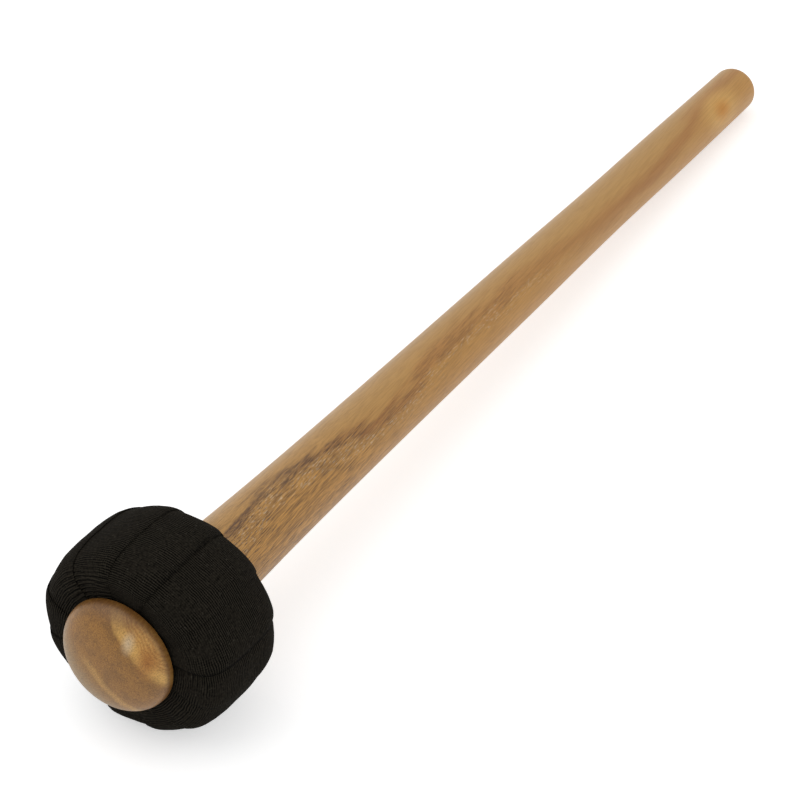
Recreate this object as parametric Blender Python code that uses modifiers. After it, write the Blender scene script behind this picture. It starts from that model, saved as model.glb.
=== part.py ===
"""Gong mallet: a turned hardwood handle and knob with a heavy, cloth-wound head.

The head is a rubber ring in a felt padding, wound over and over with one long strip of ribbed knit
cloth. The strip passes over the outside of the ring and back through its hole, and its turns lie
over each other like shingles. The head sits on the handle's turned-down seat, between the shoulder
behind it and the knob in front of it.

Every piece is drawn along the mallet's own axis (local Z), with stations counted from the back of
the knob towards the butt. A parent empty then lays the mallet down as it rests on a table: the head
and the butt both touch the plane Z = 0, and the stick runs along +X.
"""

import math

import bmesh
import bpy
from mathutils import Matrix, Vector
from mathutils.bvhtree import BVHTree

MM = 0.001

# Fits between pieces that touch
GAP = 0.3 * MM

# Knob: a dome with a flat back and a blind bore for the handle's tenon
KNOB_RADIUS = 17.7 * MM
KNOB_HEIGHT = 11.0 * MM
KNOB_EDGE_ROUND = 0.4 * MM
KNOB_FULLNESS = 1.93
TENON_RADIUS = 6.0 * MM
TENON_LENGTH = 8.0 * MM

# Handle: stations from the back of the knob
SEAT_RADIUS = 9.5 * MM
SHOULDER_STATION = 33.6 * MM
SHOULDER_ROUND = 0.8 * MM
BUTT_STATION = 397.8 * MM
BUTT_RADIUS = 8.39 * MM
BUTT_HEIGHT = 4.0 * MM
BUTT_FLAT_RADIUS = 4.2 * MM
TAPER = 0.0083
FLARE = 1.84 * MM
FLARE_STATION = 40.0 * MM
FLARE_LENGTH = 42.4 * MM
WAIST = 0.36 * MM
WAIST_STATION = 289.0 * MM
WAIST_LENGTH = 37.0 * MM
STICK_SPANS = 18
STATION_CROWDING = 1.25

# Head: the outline that the cloth's raised edges reach, a rounded ring
HEAD_RADIUS = 32.75 * MM
HEAD_CENTRE = 21.0 * MM
CREST_RADIUS = 21.0 * MM
HOLE_RADIUS = 9.8 * MM
FRONT_DEPTH = 20.6 * MM
BACK_DEPTH = 17.1 * MM
FRONT_OUTER_FULLNESS = 2.2
BACK_OUTER_FULLNESS = 2.3
FRONT_INNER_FULLNESS = 2.6
BACK_INNER_FULLNESS = 2.0
FLAT_DEPTH = 0.5 * MM

# Strip of cloth: twelve turns, pulled a little wider on one side than on the other
TURNS = 12
FIRST_LAY = -26.3
LAY_SWING = 2.5
LAY_PHASE = 55.7
OVERLAP = 0.13
STRIP_THICKNESS = 0.9 * MM
STRIP_EDGE_THICKNESS = 0.45 * MM
SHINGLE_RISE = 1.16 * MM
RISE_STARTS = 0.12
FLATNESS = 0.25
OUTSIDE_SLANT = 1.0 / 3.0
RINGS_PER_TURN = 24
STRIP_POINTS = (-0.95, -0.6, -0.2, 0.2, 0.6, 0.95)
SEAM_PLACE = 0.75

# Inside the cloth
PADDING_INSET = 2.7 * MM
PADDING_OPENS = 0.67
PADDING_CLOSES = 0.82
CORE_MIDDLE_RADIUS = 20.5 * MM
CORE_HALF_WIDTH = 4.5 * MM
CORE_CENTRE = 18.8 * MM
CORE_HALF_DEPTH = 11.5 * MM
CORE_FULLNESS = 2.5
BORE_HALF_OPENING = 40.0

# Facets
ROUND_STEPS = 48
RING_STEPS = 32
OUTLINE_POINTS = 720
SHARP_ANGLE = math.radians(40)
MERGE_WITHIN = 0.01 * MM
KNOB_POINTS = 11
BUTT_POINTS = 6
PADDING_POINTS = 26
BORE_POINTS = 10
CORE_POINTS = 14

# Materials: linear colour, roughness
OILED_WOOD = ("oiled_hardwood", (0.434, 0.254, 0.107, 1.0), 0.42)
KNIT_CLOTH = ("black_ribbed_knit", (0.011, 0.0095, 0.0075, 1.0), 0.95)
GREY_FELT = ("grey_felt", (0.23, 0.22, 0.20, 1.0), 0.95)
BLACK_RUBBER = ("black_rubber", (0.02, 0.02, 0.02, 1.0), 0.7)


def clear_scene():
    """Remove the objects that the file starts with."""
    for thing in list(bpy.data.objects):
        bpy.data.objects.remove(thing, do_unlink=True)


def make_material(finish):
    """A plain material from a (name, linear colour, roughness) finish."""
    name, colour, roughness = finish
    material = bpy.data.materials.new(name)
    material.use_nodes = True
    shader = material.node_tree.nodes["Principled BSDF"]
    shader.inputs["Base Color"].default_value = colour
    shader.inputs["Roughness"].default_value = roughness
    shader.inputs["Metallic"].default_value = 0.0
    return material


def make_object(name, mesh, collection, material, parent):
    """Put a mesh in the scene as one piece of the mallet."""
    piece = bpy.data.objects.new(name, mesh)
    collection.objects.link(piece)
    piece.parent = parent
    if material:
        mesh.materials.append(material)
    return piece


def turned(name, outline, closed, steps, collection, material, parent):
    """A turned piece: an outline of (radius, station) points, spun about the axis.

    The outline runs down its outer side, from the butt end towards the knob end.
    """
    mesh = bpy.data.meshes.new(name)
    points = [(radius, 0.0, station) for radius, station in outline]
    edges = [(i, i + 1) for i in range(len(points) - 1)]
    if closed:
        edges.append((len(points) - 1, 0))
    mesh.from_pydata(points, edges, [])
    piece = make_object(name, mesh, collection, material, parent)
    spin = piece.modifiers.new("spin", "SCREW")
    spin.axis = "Z"
    spin.steps = steps
    spin.render_steps = steps
    spin.use_merge_vertices = True
    spin.merge_threshold = MERGE_WITHIN
    spin.use_smooth_shade = True
    return piece


def arc(centre, radius_r, radius_s, start, end, count, fullness=2.0):
    """Points of a rounded quarter or half: angle 0 points away from the axis, 90 towards the butt."""
    points = []
    for i in range(count + 1):
        angle = math.radians(start + (end - start) * i / count)
        across = math.copysign(abs(math.cos(angle)) ** (2 / fullness), math.cos(angle))
        along = math.copysign(abs(math.sin(angle)) ** (2 / fullness), math.sin(angle))
        points.append((centre[0] + radius_r * across, centre[1] + radius_s * along))
    return points


def stick_radius(station):
    """The stick's radius: an even taper, a flare at the head and a shallow waist before the butt."""
    taper = TAPER * (BUTT_STATION - station)
    flare = FLARE * math.exp(-(station - FLARE_STATION) / FLARE_LENGTH)
    waist = WAIST * math.exp(-(((station - WAIST_STATION) / WAIST_LENGTH) ** 2))
    return BUTT_RADIUS + taper + flare - waist


def make_knob(collection, material, parent):
    """The dome in front of the head, with its blind bore."""
    bore = TENON_RADIUS + GAP
    bore_end = -(TENON_LENGTH + GAP)
    edge_r = KNOB_RADIUS - KNOB_EDGE_ROUND
    outline = [(bore, bore_end), (bore, 0.0)]
    outline += [(edge_r, 0.0)]
    outline += arc((edge_r, -KNOB_EDGE_ROUND), KNOB_EDGE_ROUND, KNOB_EDGE_ROUND, 60, 0, 2)
    rise = KNOB_HEIGHT - KNOB_EDGE_ROUND
    dome = arc((0.0, -KNOB_EDGE_ROUND), KNOB_RADIUS, rise, 0, -90, KNOB_POINTS, KNOB_FULLNESS)
    outline += dome[1:-1]
    outline += [(0.0, -KNOB_HEIGHT)]
    outline = [(0.0, bore_end)] + outline
    return turned("knob", outline, False, ROUND_STEPS, collection, material, parent)


def make_handle(collection, material, parent):
    """The stick with its rounded butt, shoulder, seat for the head and tenon for the knob."""
    edge = stick_radius(BUTT_STATION) - BUTT_FLAT_RADIUS
    butt = arc((BUTT_FLAT_RADIUS, BUTT_STATION), edge, BUTT_HEIGHT, 90, 0, BUTT_POINTS)
    outline = [(0.0, BUTT_STATION + BUTT_HEIGHT)] + butt
    first = SHOULDER_STATION + SHOULDER_ROUND
    for i in range(1, STICK_SPANS + 1):
        # Stations close up towards the head, where the outline bends most
        share = (1 - i / STICK_SPANS) ** STATION_CROWDING
        station = first + (BUTT_STATION - first) * share
        outline.append((stick_radius(station), station))
    shoulder = stick_radius(first)
    outline.append((shoulder - SHOULDER_ROUND, SHOULDER_STATION))
    outline.append((SEAT_RADIUS, SHOULDER_STATION))
    outline.append((SEAT_RADIUS, GAP))
    outline.append((TENON_RADIUS, GAP))
    outline.append((TENON_RADIUS, -TENON_LENGTH))
    outline.append((0.0, -TENON_LENGTH))
    return turned("handle", outline, False, ROUND_STEPS, collection, material, parent)


def head_outline():
    """The closed outline of the head's section, as dense (radius, station) points.

    It starts at the back crest, runs over the outside to the front crest and returns through the
    hole.
    """
    points = []
    for i in range(OUTLINE_POINTS):
        angle = math.radians(90 - 360 * i / OUTLINE_POINTS)
        outside = math.cos(angle) >= 0
        reach = HEAD_RADIUS - CREST_RADIUS if outside else CREST_RADIUS - HOLE_RADIUS
        if math.sin(angle) >= 0:
            depth = BACK_DEPTH
            fullness = BACK_OUTER_FULLNESS if outside else BACK_INNER_FULLNESS
        else:
            depth = FRONT_DEPTH
            fullness = FRONT_OUTER_FULLNESS if outside else FRONT_INNER_FULLNESS
        across = math.copysign(abs(math.cos(angle)) ** (2 / fullness), math.cos(angle))
        along = math.copysign(abs(math.sin(angle)) ** (2 / fullness), math.sin(angle))
        points.append(Vector((CREST_RADIUS + reach * across, HEAD_CENTRE + depth * along)))
    return points


class Outline:
    """The head's section walked at an even pace, with its outward normal."""

    def __init__(self, points):
        self.points = points
        self.walked = [0.0]
        for i, point in enumerate(points):
            self.walked.append(self.walked[-1] + (points[(i + 1) % len(points)] - point).length)

    def at(self, share):
        """The point and outward normal at a share of the way round, from 0 to 1."""
        target = (share % 1.0) * self.walked[-1]
        low, high = 0, len(self.points)
        while high - low > 1:
            middle = (low + high) // 2
            if self.walked[middle] <= target:
                low = middle
            else:
                high = middle
        here = self.points[low]
        after = self.points[(low + 1) % len(self.points)]
        step = (target - self.walked[low]) / max(self.walked[low + 1] - self.walked[low], 1e-9)
        ahead = self.points[(low + 3) % len(self.points)]
        behind = self.points[low - 2]
        tangent = (ahead - behind).normalized()
        return here.lerp(after, step), Vector((-tangent.y, tangent.x))


def smooth_step(x):
    """0 below 0, 1 above 1, and an even S between."""
    x = min(max(x, 0.0), 1.0)
    return x * x * (3 - 2 * x)


def lay(angle):
    """Where the winder laid a turn, in degrees round the axis, for its even place."""
    return angle + LAY_SWING * math.cos(math.radians(angle - LAY_PHASE))


def strip_advance(turn):
    """How many turns' spacings the strip has moved sideways after so many turns.

    Most of the sideways step is taken inside the hole, so the turns run almost straight outside.
    """
    place = turn % 1.0
    return turn - OUTSIDE_SLANT * math.sin(math.pi * place) ** 2


def strip_section(outline, turn):
    """One ring of points round the strip, out over its top face and back under it."""
    spacing = 360.0 / TURNS
    half = spacing / 2 * (1 + OVERLAP)
    centre = FIRST_LAY + spacing / 2 - spacing * (strip_advance(turn) - strip_advance(SEAM_PLACE))
    place, normal = outline.at(turn)
    ring = []

    def add(across, level):
        """A point of the section: across from -1 to 1, level 1 on top and -1 underneath."""
        angle = math.radians(lay(centre + across * half))
        climb = smooth_step(((across + 1) / 2 - RISE_STARTS) / (1 - 2 * RISE_STARTS))
        thickness = STRIP_EDGE_THICKNESS + (STRIP_THICKNESS - STRIP_EDGE_THICKNESS) * (1 - across**2)
        sag = FLATNESS * place.x * (1 - math.cos(math.radians(half))) * (1 - across**2)
        depth = SHINGLE_RISE * (1 - climb) + sag + thickness * (1 - level) / 2
        radius = place.x - depth * normal.x
        station = place.y - depth * normal.y
        ring.append(Vector((radius * math.cos(angle), radius * math.sin(angle), station)))

    for across in STRIP_POINTS:
        add(across, 1)
    add(1.0, 0)
    for across in reversed(STRIP_POINTS):
        add(across, -1)
    add(-1.0, 0)
    return ring


def least_gap(rings):
    """The least distance from the strip to its own other turns, measured from points to faces."""
    count = len(rings[0])
    half_turn = RINGS_PER_TURN // 2
    clear_of = RINGS_PER_TURN // 4
    least = 1.0
    for start in range(0, len(rings) - half_turn, half_turn):
        block = rings[start : start + half_turn + 1]
        points = [point for ring in block for point in ring]
        faces = []
        for i in range(len(block) - 1):
            for j in range(count):
                k = (j + 1) % count
                faces.append((i * count + j, i * count + k, (i + 1) * count + k, (i + 1) * count + j))
        tree = BVHTree.FromPolygons(points, faces)
        for ring in rings[start + half_turn + clear_of :]:
            for point in ring:
                least = min(least, tree.find_nearest(point)[3])
    return least


def make_wrap(outline, collection, material, parent):
    """The strip of cloth as one unbroken ribbon, lofted through its sections."""
    count = TURNS * RINGS_PER_TURN
    rings = [strip_section(outline, SEAM_PLACE + i / RINGS_PER_TURN) for i in range(count)]
    print(f"wrap: least gap to itself {least_gap(rings) / MM:.3f} mm")
    shape = bmesh.new()
    rows = [[shape.verts.new(point) for point in ring] for ring in rings]
    around = len(rows[0])
    for before, after in zip(rows, rows[1:]):
        for j in range(around):
            k = (j + 1) % around
            shape.faces.new((before[j], before[k], after[k], after[j]))
    shape.faces.new(reversed(rows[0]))
    shape.faces.new(rows[-1])
    bmesh.ops.recalc_face_normals(shape, faces=shape.faces)
    mesh = bpy.data.meshes.new("wrap")
    shape.to_mesh(mesh)
    shape.free()
    mesh.shade_smooth()
    mesh.set_sharp_from_angle(angle=SHARP_ANGLE)
    return make_object("wrap", mesh, collection, material, parent)


def make_padding(outline, collection, material, parent):
    """The felt layer: a channel rolled round the core, whose edges stop short inside the hole."""
    span = PADDING_OPENS + 1 - PADDING_CLOSES
    outside = []
    for i in range(PADDING_POINTS + 1):
        place, normal = outline.at(PADDING_CLOSES + span * i / PADDING_POINTS)
        outside.append(tuple(place - PADDING_INSET * normal))
    start = 180 + BORE_HALF_OPENING
    end = 540 - BORE_HALF_OPENING
    centre = (CORE_MIDDLE_RADIUS, CORE_CENTRE)
    width = CORE_HALF_WIDTH + GAP
    depth = CORE_HALF_DEPTH + GAP
    inside = arc(centre, width, depth, start, end, BORE_POINTS, CORE_FULLNESS)
    return turned("padding", outside + inside, True, RING_STEPS, collection, material, parent)


def make_core(collection, material, parent):
    """The heavy ring inside the padding, of rounded section."""
    centre = (CORE_MIDDLE_RADIUS, CORE_CENTRE)
    outline = arc(centre, CORE_HALF_WIDTH, CORE_HALF_DEPTH, 360, 0, CORE_POINTS, CORE_FULLNESS)[:-1]
    return turned("core_ring", outline, True, RING_STEPS, collection, material, parent)


def lay_down(outline):
    """The placement that rests the head's flat and the butt on the plane Z = 0."""
    cloth = []
    for i in range(RINGS_PER_TURN * TURNS):
        cloth += strip_section(outline, SEAM_PLACE + i / RINGS_PER_TURN)
    edge = stick_radius(BUTT_STATION) - BUTT_FLAT_RADIUS
    lean = 0.0
    for _ in range(6):
        lowest = min(point.x * math.cos(lean) - point.z * math.sin(lean) for point in cloth)
        table = lowest + FLAT_DEPTH
        reach = math.hypot(edge * math.cos(lean), BUTT_HEIGHT * math.sin(lean))
        butt_reach = reach + BUTT_FLAT_RADIUS * math.cos(lean)
        lean = math.asin((-table - butt_reach) / BUTT_STATION)
    axis = Vector((math.cos(lean), 0.0, -math.sin(lean)))
    up = Vector((math.sin(lean), 0.0, math.cos(lean)))
    turn = Matrix((up, axis.cross(up), axis)).transposed().to_4x4()
    middle = (BUTT_STATION + BUTT_HEIGHT - KNOB_HEIGHT) / 2
    origin = Vector((-middle * math.cos(lean), 0.0, -table))
    print(f"lean {math.degrees(lean):.3f} degrees")
    print(f"back of the knob on the axis at x {origin.x / MM:.3f}, z {origin.z / MM:.3f} mm")
    return Matrix.Translation(origin) @ turn


def cut_flat(piece, placement, cutters):
    """Cut the cloth flat where it rests, with a block that lies under the table plane."""
    size = 4 * HEAD_RADIUS
    mesh = bpy.data.meshes.new("table_block")
    block = bmesh.new()
    bmesh.ops.create_cube(block, size=size)
    bmesh.ops.translate(block, verts=block.verts, vec=(0.0, 0.0, -size / 2))
    block.to_mesh(mesh)
    block.free()
    cutter = bpy.data.objects.new("table_block", mesh)
    cutters.objects.link(cutter)
    head = placement @ Vector((0.0, 0.0, HEAD_CENTRE))
    cutter.location = (head.x, 0.0, 0.0)
    cutter.hide_render = True
    cutter.display_type = "WIRE"
    cut = piece.modifiers.new("rest_flat", "BOOLEAN")
    cut.operation = "DIFFERENCE"
    cut.solver = "EXACT"
    cut.object = cutter


def main():
    """Build the five pieces and lay the mallet on the table plane."""
    clear_scene()
    collection = bpy.data.collections.new("gong_mallet")
    cutters = bpy.data.collections.new("cutters")
    bpy.context.scene.collection.children.link(collection)
    bpy.context.scene.collection.children.link(cutters)
    outline = Outline(head_outline())
    axis = bpy.data.objects.new("mallet_axis", None)
    collection.objects.link(axis)
    placement = lay_down(outline)
    axis.matrix_world = placement
    wood = make_material(OILED_WOOD)
    make_handle(collection, wood, axis)
    make_knob(collection, wood, axis)
    make_core(collection, make_material(BLACK_RUBBER), axis)
    make_padding(outline, collection, make_material(GREY_FELT), axis)
    wrap = make_wrap(outline, collection, make_material(KNIT_CLOTH), axis)
    cut_flat(wrap, placement, cutters)


main()
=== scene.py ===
"""Gong mallet: a turned hardwood handle and knob, and a head wound with one long strip of knit cloth.

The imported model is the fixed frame. The turned pieces are modelled again with finer curves, the cloth
strip is wound again with its folded edges, wrinkles and ribs, and the ring of felt under it gets its
crowned form. The rubber ring keeps its node.

Sizes are in millimetres in the classes, and in metres in every mesh. Each piece is first shaped on the
mallet's own axis, with stations counted from the back of the knob towards the butt, and then laid down.
"""

import bisect
import enum
import logging
import math
from dataclasses import dataclass, field

import bpy
from bpy.types import ID, Material, Node, NodeSocket, NodeTree, Object
from mathutils import Euler, Matrix, Vector, noise


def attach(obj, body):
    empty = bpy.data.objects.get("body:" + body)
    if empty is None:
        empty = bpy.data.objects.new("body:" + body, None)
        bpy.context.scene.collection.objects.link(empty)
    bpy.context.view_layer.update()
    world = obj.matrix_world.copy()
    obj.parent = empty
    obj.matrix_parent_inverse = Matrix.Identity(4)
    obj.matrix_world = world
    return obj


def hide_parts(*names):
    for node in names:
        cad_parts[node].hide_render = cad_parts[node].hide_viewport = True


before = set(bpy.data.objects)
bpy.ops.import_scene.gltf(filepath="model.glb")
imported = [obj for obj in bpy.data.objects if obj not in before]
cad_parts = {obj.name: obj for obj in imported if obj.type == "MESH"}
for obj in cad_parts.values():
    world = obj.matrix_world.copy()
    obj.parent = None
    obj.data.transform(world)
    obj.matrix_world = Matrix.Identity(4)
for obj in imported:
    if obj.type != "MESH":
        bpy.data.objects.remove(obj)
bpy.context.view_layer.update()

MM = 0.001
# How a Map Range node makes a soft ramp, and how a Mix node mixes colours, with the result in output 2
SOFT_RAMP = {"interpolation_type": "SMOOTHSTEP"}
COLOUR_MIX = {"data_type": "RGBA", "output": 2}
log = logging.getLogger("gong_mallet")


def linear(colour: str) -> tuple[float, float, float, float]:
    """Turn an sRGB hex colour to linear.

    Args:
        colour: Six hex digits after a hash sign.

    Returns:
        Red, green, blue and an alpha of 1.
    """
    parts = [int(colour[i : i + 2], 16) / 255 for i in (1, 3, 5)]
    red, green, blue = (c / 12.92 if c <= 0.04045 else ((c + 0.055) / 1.055) ** 2.4 for c in parts)
    return red, green, blue, 1.0


def set_inputs(node: Node, inputs: dict | tuple) -> None:
    """Set or link a node's inputs.

    Args:
        node: The node.
        inputs: The inputs in order, or by name or number: each is a value, a hex colour or an output.
    """
    for name, value in inputs.items() if isinstance(inputs, dict) else enumerate(inputs):
        if isinstance(value, NodeSocket):
            node.id_data.links.new(value, node.inputs[name])
        else:
            node.inputs[name].default_value = linear(value) if isinstance(value, str) else value


def add_node(
    tree: NodeTree, kind: str, inputs: dict | tuple = (), output: int | str = 0, **settings: object
) -> NodeSocket:
    """Add a node to a material or world.

    Args:
        tree: The node tree.
        kind: The node's type, without its prefix.
        inputs: Its inputs, as set_inputs takes them.
        output: The name or number of the output that is wanted.
        settings: The node's own properties.

    Returns:
        That output of the new node.
    """
    made = tree.nodes.new("ShaderNode" + kind)
    for name, value in settings.items():
        setattr(made, name, value)
    set_inputs(made, inputs)
    return made.outputs[output]


def new_material(title: str) -> tuple[Material, NodeTree, Node]:
    """Start a material.

    Args:
        title: Its name.

    Returns:
        The material, its node tree and its shader.
    """
    material = bpy.data.materials.new(title)
    material.use_nodes = True
    return material, material.node_tree, material.node_tree.nodes["Principled BSDF"]


def ramp(value: float, start: float, end: float) -> float:
    """0 up to the start, 1 from the end on, and an even S between. The end may be the lower one."""
    share = min(max((value - start) / (end - start), 0.0), 1.0)
    return share * share * (3 - 2 * share)


def smooth_max(value: float, least: float, blend: float) -> float:
    """The larger of two numbers, never under the least, with a rounded change from one to the other."""
    apart = value - least
    return least + 0.5 * (apart + math.sqrt(apart * apart + blend * blend))


def quarter(steps: int) -> list[float]:
    """The angles in radians that divide a quarter turn into equal steps, from the first step to the last."""
    return [math.radians(90 * i / steps) for i in range(1, steps + 1)]


def squarish(angle: float, fullness: float) -> tuple[float, float]:
    """A point on a superellipse of unit size. A fullness of 2 is a circle, and more is squarer."""
    across, along = (math.copysign(abs(c) ** (2 / fullness), c) for c in (math.cos(angle), math.sin(angle)))
    return across, along


@dataclass(frozen=True)
class MalletAxis:
    """Where the mallet's own axis lies: it leans from the head down to the butt, and both rest on Z = 0."""

    knob_back: tuple[float, float, float] = (-195.028, 0.0, 32.914)
    lean: float = math.radians(3.536)

    @property
    def turn(self) -> Matrix:
        """The rotation from local X (up), Y (across) and Z (towards the butt) to the row frame."""
        along = Vector((math.cos(self.lean), 0.0, -math.sin(self.lean)))
        up = Vector((math.sin(self.lean), 0.0, math.cos(self.lean)))
        return Matrix((up, along.cross(up), along)).transposed()

    @property
    def placement(self) -> Matrix:
        """The matrix that lays down a piece shaped on the local axis, in metres."""
        return Matrix.Translation(Vector(self.knob_back) * MM) @ self.turn.to_4x4()

    def pattern_space(self, tree: NodeTree) -> NodeSocket:
        """Object coordinates turned to the mallet's own axis.

        Args:
            tree: The material's node tree.

        Returns:
            Local millimetres: up, across and station.
        """
        inputs = {
            "Vector": add_node(tree, "TexCoord", output="Object"),
            "Location": Vector(self.knob_back) * MM,
            "Rotation": self.turn.to_euler(),
            "Scale": (MM, MM, MM),
        }
        return add_node(tree, "Mapping", inputs, vector_type="TEXTURE")


class Figure(enum.Enum):
    """How the wood's growth layers show on a turned piece."""

    LONG_GRAIN = "long_grain"
    END_GRAIN = "end_grain"


# The heart streak by share of FIGURE_LENGTH: its place as a share of a quarter turn, its half width in
# centimetres, and its strength. The last curve is how strongly the flecks show.
FIGURE_LENGTH = 400.0
STREAK_PATH = (
    (0.0, 0.20), (0.127, 0.17), (0.19, 0.08), (0.235, 0.14), (0.282, 0.31), (0.357, 0.50), (0.403, 0.32),
    (0.46, 0.29), (0.546, 0.31), (0.60, 0.43), (0.678, 0.60), (0.776, 0.64), (0.85, 0.49), (0.885, 0.30),
    (0.933, 0.10), (1.0, 0.05),
)
STREAK_WIDTH = ((0.0, 0.24), (0.2, 0.28), (0.33, 0.38), (0.45, 0.54), (0.68, 0.60), (0.8, 0.62), (1.0, 0.40))
STREAK_DEPTH = ((0.0, 0.80), (0.2, 0.88), (0.33, 0.72), (0.45, 0.55), (0.6, 0.50), (0.8, 0.70), (1.0, 0.3))
FLECK_DEPTH = ((0.0, 0.90), (0.22, 0.78), (0.33, 0.35), (0.55, 0.12), (0.7, 0.05), (1.0, 0.02))

# A coat is a share of the surface and the colour that it takes there
Coats = list[tuple[float | NodeSocket, str | NodeSocket]]


@dataclass(frozen=True)
class OiledHardwood:
    """Tan hardwood, turned, sanded and oiled.

    The oil gives a soft sheen that pales towards the edges of a round piece. Fine brown fibres and short
    dark flecks run along the stick, a darker heart streak wanders along it, and end grain shows the
    flecks as dots between curved layers. Widths and lengths in the figure are in millimetres.
    """

    figure: Figure
    pale: str = "#cb964b"
    tan: str = "#b4823b"
    orange: str = "#9c5c18"
    heart: str = "#57330c"
    fleck: str = "#4a2c08"
    grey: str = "#a18150"
    dome: str = "#986826"
    flare: str = "#dcab5b"
    olive: str = "#6f4c1c"
    # Cream: pale threads beside the stick's streak, and the knob's painted highlight
    cream: str = "#d2b68f"
    amber: str = "#a96c22"
    # The colour of the knob's painted shade, towards its top and on its edge by the cloth
    knot: str = "#c88420"
    painted_shade: str = "#6f481c"
    # A painted cool reflection of the surroundings on one side of the stick, and warm wood on the other
    painted_sky_tint: str = "#b68f54"
    warm_side: str = "#c38b3a"
    fibre_width: float = 0.20
    fibre_length: float = 6.0
    fleck_width: float = 0.085
    fleck_length: float = 2.6
    grain_lean: tuple[float, float, float] = (math.radians(2.9), math.radians(2.1), 0.0)
    pore_depth: float = 0.05
    ior: float = 1.5
    roughness: float = 0.40

    def make(self, axis: MalletAxis) -> Material:
        """Build the material.

        Args:
            axis: The mallet's axis, which the grain follows.

        Returns:
            The wood of the stick or of the knob.
        """
        material, tree, shader = new_material("oiled_hardwood_" + self.figure.value)
        place = axis.pattern_space(tree)
        # The fibres run out of the stick at a small angle, as they do in a blank that is sawn off the grain
        leaning = {"Vector": place, "Rotation": self.grain_lean}
        grain = add_node(tree, "Mapping", leaning, vector_type="TEXTURE")
        fibres = self.streaks(tree, grain, self.fibre_width, self.fibre_length)
        flecks = self.streaks(tree, grain, self.fleck_width, self.fleck_length)
        broad = self.streaks(tree, place, 7.0, 60.0, detail=1.0)
        if self.figure is Figure.LONG_GRAIN:
            coats, marks = self.stick_figure(tree, place, grain)
        else:
            coats, marks = self.knob_figure(tree, place)
        tone, shade, dots, threads = (
            add_node(tree, "MapRange", span, **SOFT_RAMP)
            for span in (
                (broad, 0.36, 0.64, 0.2, 0.7),  # broad changes of tone
                (fibres, 0.38, 0.66),  # brown fibres
                (flecks, 0.53, 0.62),  # dark flecks
                (flecks, 0.44, 0.34, 0.0, 0.5),  # pale threads between them
            )
        )
        fibrous = add_node(tree, "Math", (marks, 0.55, 0.12), operation="MULTIPLY_ADD")
        drawn, dark, light = (
            add_node(tree, "Math", pair, operation="MULTIPLY")
            for pair in ((shade, fibrous), (dots, marks), (threads, marks))
        )
        body = self.tan
        coats = [(tone, self.pale), *coats, (drawn, self.heart), (dark, self.fleck), (light, self.pale)]
        for share, colour in coats:
            body = add_node(tree, "Mix", {0: share, 6: body, 7: colour}, **COLOUR_MIX)
        sheen = (fibres, 0.0, 1.0, self.roughness - 0.06, self.roughness + 0.1)
        relief = add_node(tree, "Math", (fibres, dark), operation="SUBTRACT")
        pores = {"Strength": 0.3, "Distance": self.pore_depth * MM, "Height": relief}
        inputs = {
            "Base Color": body,
            "Roughness": add_node(tree, "MapRange", sheen),
            "IOR": self.ior,
            "Normal": add_node(tree, "Bump", pores),
        }
        set_inputs(shader, inputs)
        return material

    def streaks(
        self, tree: NodeTree, place: NodeSocket, width: float, length: float, detail: float = 2.0
    ) -> NodeSocket:
        """Noise drawn out along the grain.

        Args:
            tree: The material's node tree.
            place: Local millimetres.
            width: A streak's width in millimetres.
            length: A streak's length in millimetres.
            detail: How much finer detail the noise has.

        Returns:
            The noise, from 0 to 1.
        """
        spread = {"Vector": place, "Scale": (0.5 / width, 0.5 / width, 0.5 / length)}
        drawn = add_node(tree, "Mapping", spread, vector_type="POINT")
        inputs = {"Vector": drawn, "Scale": 1.0, "Detail": detail, "Roughness": 0.55}
        return add_node(tree, "TexNoise", inputs)

    def along_stick(self, tree: NodeTree, share: NodeSocket, points: tuple) -> NodeSocket:
        """A value that changes along the stick.

        Args:
            tree: The material's node tree.
            share: The share of the figure's length.
            points: Shares and the value at each.

        Returns:
            The value, from 0 to 1.
        """
        value = add_node(tree, "FloatCurve", {"Value": share})
        line = value.node.mapping.curves[0]
        line.points[0].location = points[0]
        line.points[1].location = points[-1]
        for point in points[1:-1]:
            line.points.new(*point)
        value.node.mapping.update()
        return value

    def stick_figure(
        self, tree: NodeTree, place: NodeSocket, grain: NodeSocket
    ) -> tuple[Coats, NodeSocket]:
        """The streak that wanders along the stick, dark at the head and orange further on, and a small knot.

        Args:
            tree: The material's node tree.
            place: Local millimetres.
            grain: Local millimetres, turned with the fibres.

        Returns:
            The coats of colour, and how strongly the flecks show.
        """
        up, across, station = add_node(tree, "SeparateXYZ", (place,)).node.outputs
        angle = add_node(tree, "Math", (across, up), operation="ARCTAN2")
        share = add_node(tree, "Math", (station, FIGURE_LENGTH), operation="DIVIDE")
        curves = (STREAK_PATH, STREAK_WIDTH, STREAK_DEPTH, FLECK_DEPTH)
        path, width, depth, flecks = (self.along_stick(tree, share, points) for points in curves)
        # The line is the angle from the streak's middle, and away is the wandering distance from it
        line = add_node(tree, "Math", (path, math.radians(-90), angle), operation="MULTIPLY_ADD")
        wander = self.streaks(tree, grain, 1.3, 12.0, detail=3.0)
        offset = add_node(tree, "Math", (wander, 10.0, -5.0), operation="MULTIPLY_ADD")
        away = add_node(tree, "Math", (line, 10.5, offset), operation="MULTIPLY_ADD")
        far = add_node(tree, "Math", (away,), operation="ABSOLUTE")
        reach = add_node(tree, "Math", (width, 10.0), operation="MULTIPLY")
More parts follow.
